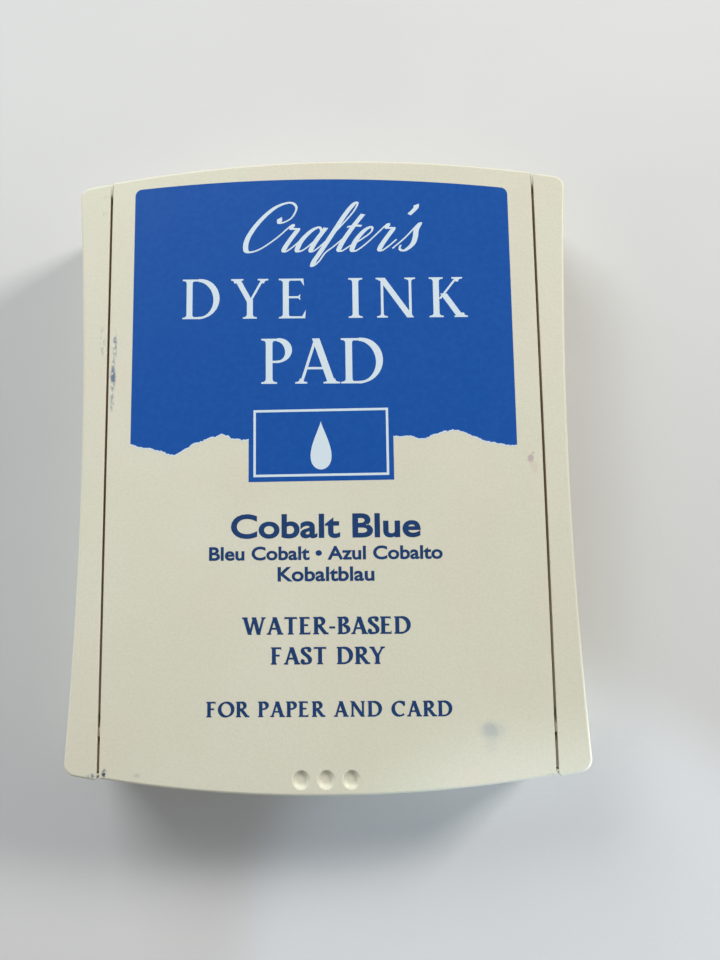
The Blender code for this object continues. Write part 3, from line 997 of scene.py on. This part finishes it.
class Alphabet:
    """Roman capitals one unit tall, drawn with a broad pen: thick stems, hairlines and serifs."""

    NIB = Vector((math.cos(math.radians(16)), math.sin(math.radians(16))))

    def __init__(self, thick, hair):
        self.thick = thick
        self.hair = hair
        self.letters = self.draw()

    def round_width(self, direction):
        return self.hair + (self.thick * 1.08 - self.hair) * abs(direction.cross(self.NIB)) ** 1.5

    def box(self, left, right, low, high):
        return [[(left, low), (right, low), (right, high), (left, high)]]

    def slope(self, low_x, low, high_x, high, width):
        """A slanting stroke, cut level at both ends."""
        half = width / 2
        foot = [(low_x - half, low), (low_x + half, low)]
        return [[*foot, (high_x + half, high), (high_x - half, high)]]

    def serif(self, x, y, width, half=0.17, rise=0.11):
        """A foot at the end of a stroke: flat at y and curving into a stroke of that width."""
        way = 1 if y < 0.5 else -1
        edge = self.hair * 0.7
        side = []
        for t in spread(0, 1, 5):
            across = width / 2 + (half - width / 2) * (1 - t) ** 2
            side.append((across, y + way * (edge + (rise - edge) * t * t)))
        right = [(x + across, up) for across, up in side]
        left = [(x - across, up) for across, up in reversed(side)]
        return [[(x - half, y), (x + half, y), *right, *left]]

    def stem(self, x, low=0.0, high=1.0, ends=(0, 1)):
        shapes = self.box(x - self.thick / 2, x + self.thick / 2, low, high)
        for y in ends:
            shapes += self.serif(x, y, self.thick)
        return shapes

    def arm(self, x0, x1, y, tick_down=0.0, tick_up=0.0):
        """A level hairline with a wedge at its far end."""
        low, high = y - self.hair / 2, y + self.hair / 2
        shapes = self.box(x0, x1, low, high)
        wedge = 0.10 if x1 > x0 else -0.10
        for size, edge in ((tick_down, -1), (tick_up, 1)):
            if size:
                base = low if edge > 0 else high
                tip = (x1 + wedge * 0.15, base + edge * size)
                shapes.append([(x1 - wedge, base), (x1, base), tip])
        return shapes

    def bowl(self, x, y, half_x, half_y, start=-90, stop=90):
        steps = max(6, int(abs(stop - start) / 9))
        turns = [math.radians(angle) for angle in spread(start, stop, steps)]
        points = [(x + half_x * math.cos(t), y + half_y * math.sin(t)) for t in turns]
        return pen_stroke(points, self.round_width)

    def draw(self):
        """Each letter's advance and shapes."""
        thick, hair = self.thick, self.hair
        slope, serif, arm, bowl = self.slope, self.serif, self.arm, self.bowl
        post = self.stem(0.19)
        fine = hair * 1.25
        top, bottom = 1 - hair / 2, hair / 2
        upper_bowl = bowl(0.36, 0.73, 0.25, 0.27 - hair / 2)
        leg_p = post + arm(0.19, 0.37, top) + arm(0.19, 0.37, 0.46 + hair / 2)
        ess = [(0.53, 0.77), (0.47, 0.91), (0.32, top), (0.16, 0.91), (0.12, 0.75), (0.24, 0.60)]
        ess += [(0.42, 0.46), (0.54, 0.29), (0.49, 0.10), (0.31, bottom), (0.15, 0.09), (0.09, 0.25)]
        return {
            " ": (0.40, []),
            "-": (0.46, self.box(0.06, 0.40, 0.33, 0.33 + hair * 1.1)),
            "A": (0.92, slope(0.13, 0, 0.45, 1, fine) + slope(0.79, 0, 0.45, 1, thick * 1.12)
                  + arm(0.24, 0.68, 0.34) + serif(0.13, 0, fine, 0.13)
                  + serif(0.79, 0, thick, 0.18)),
            "B": (0.76, post + arm(0.19, 0.37, top) + arm(0.19, 0.40, 0.53)
                  + arm(0.19, 0.40, bottom) + bowl(0.36, 0.765, 0.20, 0.235 - hair / 2)
                  + bowl(0.39, 0.265, 0.26, 0.265 - hair / 2)),
            "C": (0.88, bowl(0.51, 0.5, 0.42, 0.5 - hair / 2, 50, 312)
                  + slope(0.80, 0.68, 0.79, 0.97, fine)),
            "D": (0.98, post + arm(0.19, 0.42, top) + arm(0.19, 0.42, bottom)
                  + bowl(0.41, 0.5, 0.44, 0.5 - hair / 2)),
            "E": (0.76, post + arm(0.19, 0.62, top, tick_down=0.19)
                  + arm(0.19, 0.53, 0.53, 0.10, 0.10) + arm(0.19, 0.66, bottom, tick_up=0.21)),
            "F": (0.70, post + arm(0.19, 0.62, top, tick_down=0.19)
                  + arm(0.19, 0.52, 0.52, 0.10, 0.10)),
            "I": (0.38, post),
            "K": (0.86, post + slope(0.28, 0.46, 0.70, 1, fine)
                  + slope(0.77, 0, 0.37, 0.59, thick * 1.15) + serif(0.70, 1, fine, 0.13)
                  + serif(0.78, 0, thick, 0.16)),
            "N": (1.04, slope(0.19, 0, 0.19, 1, fine) + slope(0.87, 0, 0.87, 1, fine)
                  + slope(0.87, 0, 0.18, 1, thick * 1.15) + serif(0.19, 0, fine, 0.13)
                  + serif(0.87, 1, fine, 0.13) + serif(0.14, 1, fine, 0.10, 0.07)),
            "O": (1.02, bowl(0.51, 0.5, 0.43, 0.5 - hair / 2, 0, 360)),
            "P": (0.70, leg_p + upper_bowl),
            "R": (0.84, leg_p + upper_bowl + slope(0.76, 0, 0.39, 0.48, thick * 1.15)
                  + serif(0.78, 0, thick, 0.13)),
            "S": (0.64, pen_stroke(through(ess), self.round_width)
                  + slope(0.53, 0.70, 0.53, 0.94, fine) + slope(0.10, 0.06, 0.09, 0.31, fine)),
            "T": (0.84, self.stem(0.42, ends=(0,)) + arm(0.42, 0.78, top, tick_down=0.17)
                  + arm(0.42, 0.06, top, tick_down=0.17)),
            "W": (1.34, slope(0.41, 0, 0.12, 1, thick) + slope(0.41, 0, 0.66, 1, fine)
                  + slope(0.93, 0, 0.66, 1, thick) + slope(0.93, 0, 1.20, 1, fine)
                  + serif(0.12, 1, thick, 0.16) + serif(0.64, 1, thick, 0.12)
                  + serif(1.20, 1, fine, 0.13)),
            "Y": (0.84, slope(0.42, 0.42, 0.11, 1, thick) + slope(0.42, 0.42, 0.74, 1, fine)
                  + self.stem(0.42, 0, 0.48, ends=(0,)) + serif(0.11, 1, thick, 0.15)
                  + serif(0.74, 1, fine, 0.13)),
        }

    def write(self, words, left, right, base, height):
        """The words' shapes from left to right on a base line."""
        natural = sum(self.letters[letter][0] for letter in words) * height
        tracking = (right - left - natural) / (len(words) - 1)
        shapes = []
        for letter in words:
            advance, drawn = self.letters[letter]
            for shape in drawn:
                shapes.append([(left + x * height, base + y * height) for x, y in shape])
            left += advance * height + tracking
        return shapes


# The script word, as upright pen paths one unit to a small letter's height
SCRIPT_PATHS = (
    ((0.80, 1.42), (0.98, 1.22), (1.28, 1.42), (1.22, 1.86), (0.82, 2.08), (0.34, 1.86),
     (0.06, 1.25), (0.04, 0.55), (0.34, 0.03), (0.78, 0.10), (1.18, 0.55), (1.42, 1.02),
     (1.50, 1.12), (1.58, 0.98), (1.74, 0.96), (1.84, 0.90), (1.80, 0.50), (1.80, 0.12),
     (1.94, 0.02), (2.12, 0.25), (2.30, 0.62)),
    ((2.86, 0.84), (2.66, 1.02), (2.42, 0.86), (2.28, 0.45), (2.36, 0.06), (2.58, 0.06),
     (2.80, 0.42), (2.94, 0.98)),
    ((2.94, 1.00), (2.88, 0.50), (2.90, 0.10), (3.04, 0.02), (3.24, 0.34), (3.48, 1.00),
     (3.64, 1.66), (3.60, 2.02), (3.46, 1.98), (3.38, 1.56), (3.36, 0.80), (3.34, 0.00),
     (3.32, -0.40), (3.40, -0.60), (3.52, -0.42), (3.56, -0.05), (3.74, 0.22), (3.98, 0.66)),
    ((4.10, 1.56), (4.02, 1.08), (3.98, 0.50), (4.02, 0.10), (4.18, 0.02), (4.38, 0.22),
     (4.66, 0.48), (4.88, 0.80), (4.78, 1.01), (4.58, 0.88), (4.48, 0.48), (4.56, 0.08),
     (4.76, 0.03), (5.00, 0.36), (5.24, 0.92), (5.34, 1.12), (5.43, 0.98), (5.59, 0.96),
     (5.69, 0.90), (5.65, 0.50), (5.65, 0.12), (5.79, 0.02), (5.96, 0.22), (6.10, 0.48)),
    ((3.78, 1.02), (4.06, 1.08), (4.34, 1.06)),
    ((6.02, 1.94), (6.08, 1.78), (5.98, 1.52)),
    ((6.16, 0.10), (6.40, 0.55), (6.60, 1.14), (6.66, 0.86), (6.80, 0.56), (6.86, 0.26),
     (6.70, 0.02), (6.48, 0.06), (6.40, 0.24)),
)
SCRIPT_SLANT = 0.62
SCRIPT_THICK = 0.21
SCRIPT_HAIR = 0.075


def pointed_pen(direction):
    """A pointed pen presses on the way down only."""
    return SCRIPT_HAIR + (SCRIPT_THICK - SCRIPT_HAIR) * max(0.0, -direction.y) ** 1.5


def script_word(left, right, base):
    strokes = []
    for path in SCRIPT_PATHS:
        strokes += pen_stroke(through(path, 10), pointed_pen)
    slanted = [[(x + SCRIPT_SLANT * y, y) for x, y in stroke] for stroke in strokes]
    xs = [x for stroke in slanted for x, _ in stroke]
    start = min(xs)
    scale = (right - left) / (max(xs) - start)
    return [[(left + (x - start) * scale, base + y * scale) for x, y in s] for s in slanted]


def inside(places, outline):
    """Which of the places, rows of x and y, lie inside the outline."""
    corners = np.array(outline)
    result = np.zeros(len(places), bool)
    near = np.all((places >= corners.min(0)) & (places <= corners.max(0)), axis=1).nonzero()[0]
    x, y = places[near].T
    odd = np.zeros(len(near), bool)
    for (x0, y0), (x1, y1) in zip(corners, np.roll(corners, -1, axis=0)):
        if y0 != y1:
            odd ^= ((y0 > y) != (y1 > y)) & (x < x0 + (y - y0) * (x1 - x0) / (y1 - y0))
    result[near] = odd
    return result


def inked(places, art):
    """Which places carry ink. Later entries of art win over earlier ones."""
    ink = np.zeros(len(places), bool)
    for lays_ink, outlines, holed in art:
        covered = np.zeros(len(places), bool)
        for outline in outlines:
            within = inside(places, outline)
            covered = covered ^ within if holed else covered | within
        ink[covered] = lays_ink
    return ink


def make_print(name, art, material):
    """A thin solid of ink. Each entry of art is (whether it lays ink, outlines, whether an outline
    inside another is a hole).
    """
    points, edges = [], []
    for _, outlines, _ in art:
        for outline in outlines:
            first, count = len(points), len(outline)
            edges += [(first + i, first + (i + 1) % count) for i in range(count)]
            points += [Vector(point) for point in outline]
    flat, _, faces, *_ = delaunay_2d_cdt(points, edges, [], 0, 1e-5)
    flat_array = np.array([tuple(point) for point in flat])
    middles = np.array([flat_array[list(face)].mean(axis=0) for face in faces])
    mesh = bmesh.new()
    corners = [mesh.verts.new((x * MM, y * MM, (TOP + INK) * MM)) for x, y in flat]
    for index in inked(middles, art).nonzero()[0]:
        mesh.faces.new([corners[i] for i in faces[index]])
    loose = [vertex for vertex in mesh.verts if not vertex.link_faces]
    bmesh.ops.delete(mesh, geom=loose, context="VERTS")
    extruded = bmesh.ops.extrude_face_region(mesh, geom=mesh.faces[:])["geom"]
    sunk = [item for item in extruded if isinstance(item, bmesh.types.BMVert)]
    bmesh.ops.translate(mesh, verts=sunk, vec=(0, 0, -INK_SINK * INK * MM))
    bmesh.ops.recalc_face_normals(mesh, faces=mesh.faces)
    obj = place_mesh(name, [], [])
    mesh.to_mesh(obj.data)
    mesh.free()
    finish_piece(obj, "pad_assembly", "label_plastic", material)


def tilted(outlines, tilt):
    """The outlines turned a little, down to the right if the tilt is negative."""
    return [[(x, y + tilt * x) for x, y in outline] for outline in outlines]


def title_shapes():
    titling = Alphabet(0.145, 0.05)
    title = script_word(*SCRIPT_PLACE)
    for line in TITLE:
        title += titling.write(*line)
    return tilted(title, TITLE_TILT)


def badge_shapes():
    """The badge, the line inside its border, and its ink drop."""
    line = [frame_box(*BADGE, BADGE_BORDER), frame_box(*BADGE, BADGE_BORDER + BADGE_LINE)]
    drop = drop_outline((BADGE[0] + BADGE[2]) / 2, DROP_Y, DROP_SIZE)
    return [frame_box(*BADGE)], line, [drop]


def panel_art():
    badge, line, drop = badge_shapes()
    return [
        (True, [panel_outline()], True),
        (False, title_shapes(), False),
        (True, badge, True),
        (False, line, True),
        (False, drop, True),
    ]


def letters_art():
    badge, line, drop = badge_shapes()
    return [
        (True, [torn_rim()], True),
        (False, badge, True),
        (True, title_shapes(), False),
        (True, line, True),
        (True, drop, True),
    ]


def words_art():
    small = Alphabet(0.23, 0.11)
    names = [outline for line in NAMES for outline in lettering(*line)]
    notes = [shape for line in NOTES for shape in small.write(*line)]
    return [(True, tilted(names, WORDS_TILT), True), (True, tilted(notes, WORDS_TILT), False)]


# ---------------------------------------------------------------- pins and pad


def make_pin(name, way, material):
    """A headed pin with rounded ends, its shank in the tray and its head in the rail's slot."""
    head_radius = (PIN_HIGH.z - PIN_LOW.z) / 2
    rings = layers(circle(0, 0, SHANK_RADIUS), PIN_LOW.x, HEAD_X, FINE_ROUND)
    rings += layers(circle(0, 0, head_radius), HEAD_X, PIN_HIGH.x, FINE_ROUND, FINE_ROUND)[1:]
    pin = upended(solid(f"{name}_turned", rings), way)
    pin.data.transform(Matrix.Translation((0, PIVOT.y * MM, PIVOT.z * MM)))
    smooth(pin)
    finish_piece(pin, "pivot_pins", "pin_plastic", material, name)


def pad_block(name, low, high, edge_round):
    """The pad's outer form with a soft lower edge, which is its face."""
    outline = rectangle(high.x, high.y, WELL_CORNER)
    return solid(name, layers(outline, low.z, high.z, edge_round))


def inflate(cover):
    """Blows the cover up a little as cloth held along its back edge, and caps how far it moves."""
    held = cover.vertex_groups.new(name="held")
    start = [vertex.co.copy() for vertex in cover.data.vertices]
    edge_z = (CLOTH_HIGH.z - HELD_DEPTH) * MM
    held.add([i for i, place in enumerate(start) if place.z > edge_z], 1.0, "REPLACE")
    cloth = cover.modifiers.new("cloth", "CLOTH")
    for setting, value in CLOTH_SETTINGS.items():
        setattr(cloth.settings, setting, value)
    cloth.settings.effector_weights.gravity = 0
    cloth.point_cache.frame_end = COVER_FRAMES
    for number in range(1, COVER_FRAMES + 1):
        bpy.context.scene.frame_set(number)
    evaluated = cover.evaluated_get(bpy.context.evaluated_depsgraph_get())
    ended = [vertex.co.copy() for vertex in evaluated.data.vertices]
    cover.modifiers.clear()
    cover.vertex_groups.clear()
    bpy.context.scene.frame_set(1)
    for vertex, before, after in zip(cover.data.vertices, start, ended):
        move = after - before
        if move.length > CROWN * MM:
            move *= CROWN * MM / move.length
        vertex.co = before + move


def make_pad_cover(material):
    """The woven cover, drawn tight over the foam, so that its face crowns."""
    cover = pad_block("pad_cover", CLOTH_LOW, CLOTH_HIGH, CLOTH_ROUND)
    even = cover.modifiers.new("even quads", "REMESH")
    even.mode = "VOXEL"
    even.voxel_size = COVER_VOXEL * MM
    settle(cover)
    inflate(cover)
    rounding = cover.modifiers.new("rounding", "SUBSURF")
    rounding.levels = 1
    rounding.render_levels = 1
    settle(cover)
    cover.data.shade_smooth()
    finish_piece(cover, "pad_assembly", "inked_cloth", material, "pad_cloth")


def make_foam(material):
    foam = pad_block("foam_block", FOAM_LOW, FOAM_HIGH, FOAM_ROUND)
    smooth(foam)
    finish_piece(foam, "pad_assembly", "inked_foam", material, "ink_foam")


# ---------------------------------------------------------------- stage


COOL = (0.65, 0.80, 1.0)
FLOOR_HALF = 2000.0


def make_camera():
    data = bpy.data.cameras.new("camera")
    data.lens = 29.1
    data.sensor_width = 36.0
    data.clip_start = 0.01
    camera = bpy.data.objects.new("camera", data)
    camera.location = (0.0101, -0.0207, 0.1624)
    camera.rotation_mode = "ZYX"
    camera.rotation_euler = [math.radians(angle) for angle in (6.91, 1.30, -1.02)]
    bpy.context.scene.collection.objects.link(camera)
    bpy.context.scene.camera = camera


def hang_light(data, place, aim):
    light = bpy.data.objects.new(data.name, data)
    light.location = place
    light.rotation_euler = (Vector(aim) - Vector(place)).to_track_quat("-Z", "Y").to_euler()
    bpy.context.scene.collection.objects.link(light)


def make_light(name, place, size, power, colour=(1.0, 1.0, 1.0)):
    """A square soft light that looks at the middle of the case."""
    data = bpy.data.lights.new(name, "AREA")
    data.size = size
    data.energy = power
    data.color = colour
    hang_light(data, place, (0.0, 0.0, 0.0))


def make_spot(name, place, aim, cone, size, power):
    """A soft-edged pool of cool light, cone being its full angle in degrees."""
    data = bpy.data.lights.new(name, "SPOT")
    data.spot_size = math.radians(cone)
    data.spot_blend = 0.4
    data.color = COOL
    data.shadow_soft_size = size
    data.energy = power
    hang_light(data, place, aim)


def make_floor():
    corners = [(x * FLOOR_HALF, y * FLOOR_HALF, 0) for x, y in ((-1, -1), (1, -1), (1, 1), (-1, 1))]
    floor = place_mesh("floor", corners, [(0, 1, 2, 3)])
    recipe = Recipe("floor_paper")
    tone = recipe.between(recipe.noise(60.0, 2.0), 0.3, 0.7)
    colour = recipe.blend(tone, (0.66, 0.66, 0.65), (0.64, 0.64, 0.63))
    fibres = recipe.bump(recipe.noise(0.6, 3.0), 0.02)
    floor.data.materials.append(recipe.finish(colour, 0.9, fibres))


def make_stage():
    make_camera()
    make_light("key", (0.68, 0.42, 0.43), 0.20, 6.2, (1.0, 0.965, 0.92))
    make_light("back", (-0.36, 0.60, 0.46), 0.50, 4.8, (0.94, 0.98, 1.0))
    make_light("left_rim", (-0.75, -0.10, 0.12), 0.25, 1.4)
    make_spot("right_rim", (0.50, -0.33, 0.032), (0.050, -0.066, 0.016), 5, 0.015, 16.0)
    make_spot("corner", (0.12, -0.30, 0.55), (0.044, -0.111, 0.019), 12.4, 0.004, 3.1)
    make_floor()
    world = bpy.data.worlds.new("world")
    world.use_nodes = True
    sky = world.node_tree.nodes["Background"].inputs
    sky["Color"].default_value = (0.93, 0.96, 1.0, 1.0)
    sky["Strength"].default_value = 0.28
    bpy.context.scene.world = world
    bpy.context.scene.view_settings.view_transform = "Standard"


# ---------------------------------------------------------------- assembly

SLATE = (0.085, 0.14, 0.24)
GREY_BLUE = (0.41, 0.45, 0.44)
GREY = (0.36, 0.38, 0.34)
MAUVE = (0.44, 0.30, 0.34)
PINK = (0.62, 0.44, 0.42)
DARK_INK = (0.02, 0.03, 0.06)

# Wear and ink marks: colour, strength, how broken up, x, y, half width, half length
RAIL_STAINS = (
    (SLATE, 0.30, 1.0, -42.3, 24.0, 0.8, 4.0),
    (GREY, 0.30, 0.5, -42.6, 50.2, 0.9, 0.7),
    (GREY, 0.25, 0.5, -42.1, 53.4, 1.0, 0.5),
    (SLATE, 0.70, 0.2, -42.2, -56.0, 1.0, 0.6),
)
PLATE_STAINS = (
    (GREY_BLUE, 0.30, 0.0, 29.4, -48.7, 3.2, 2.8),
    (GREY_BLUE, 0.60, 0.0, 29.5, -48.7, 1.8, 1.8),
    (GREY_BLUE, 0.16, 0.0, 29.5, -51.2, 1.6, 2.6),
    (SLATE, 0.90, 0.15, -40.0, 17.6, 0.68, 3.8),
    (SLATE, 0.75, 0.7, -39.8, 23.0, 0.55, 4.5),
    (SLATE, 0.55, 0.6, -40.1, 12.7, 0.5, 2.8),
    (MAUVE, 0.65, 0.0, 38.6, 0.2, 0.85, 1.1),
    (PINK, 0.30, 0.0, 39.3, -1.4, 1.0, 1.7),
    (MAUVE, 0.55, 0.0, 39.1, 1.2, 0.35, 0.35),
    (DARK_INK, 0.95, 0.1, -40.0, -55.5, 0.55, 1.0),
    (GREY, 0.38, 0.0, -34.0, -56.0, 0.8, 0.55),
)


def make_pieces():
    make_lower_case(cream_plastic("case_cream"))
    rails = cream_plastic("rail_cream", RAIL_STAINS, seam_wall=RAIL_INNER_X)
    make_rail("left_rail", -1, rails)
    make_rail("right_rail", 1, rails)
    make_pad_tray(cream_plastic("tray_cream"))
    make_label_plate(cream_plastic("plate_cream", PLATE_STAINS, (0.40, 0.50), TRAY_HALF_WIDTH))
    make_print("print_panel", panel_art(), printed_ink("panel_blue", *PANEL_INK))
    make_print("print_letters", letters_art(), printed_ink("letter_white", *LETTER_INK))
    make_print("print_words", words_art(), printed_ink("words_blue", *WORDS_INK))
    pin_plastic = cream_plastic("pin_cream", rough=(0.3, 0.4))
    make_pin("left_pivot_pin", -1, pin_plastic)
    make_pin("right_pivot_pin", 1, pin_plastic)
    make_pad_cover(woven_cloth("pad_weave"))
    make_foam(soaked_foam("foam_cells"))
    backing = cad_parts["pad_backing"]
    backing.data.materials.clear()
    backing.data.materials.append(card_board("backing_board"))


make_pieces()
make_stage()
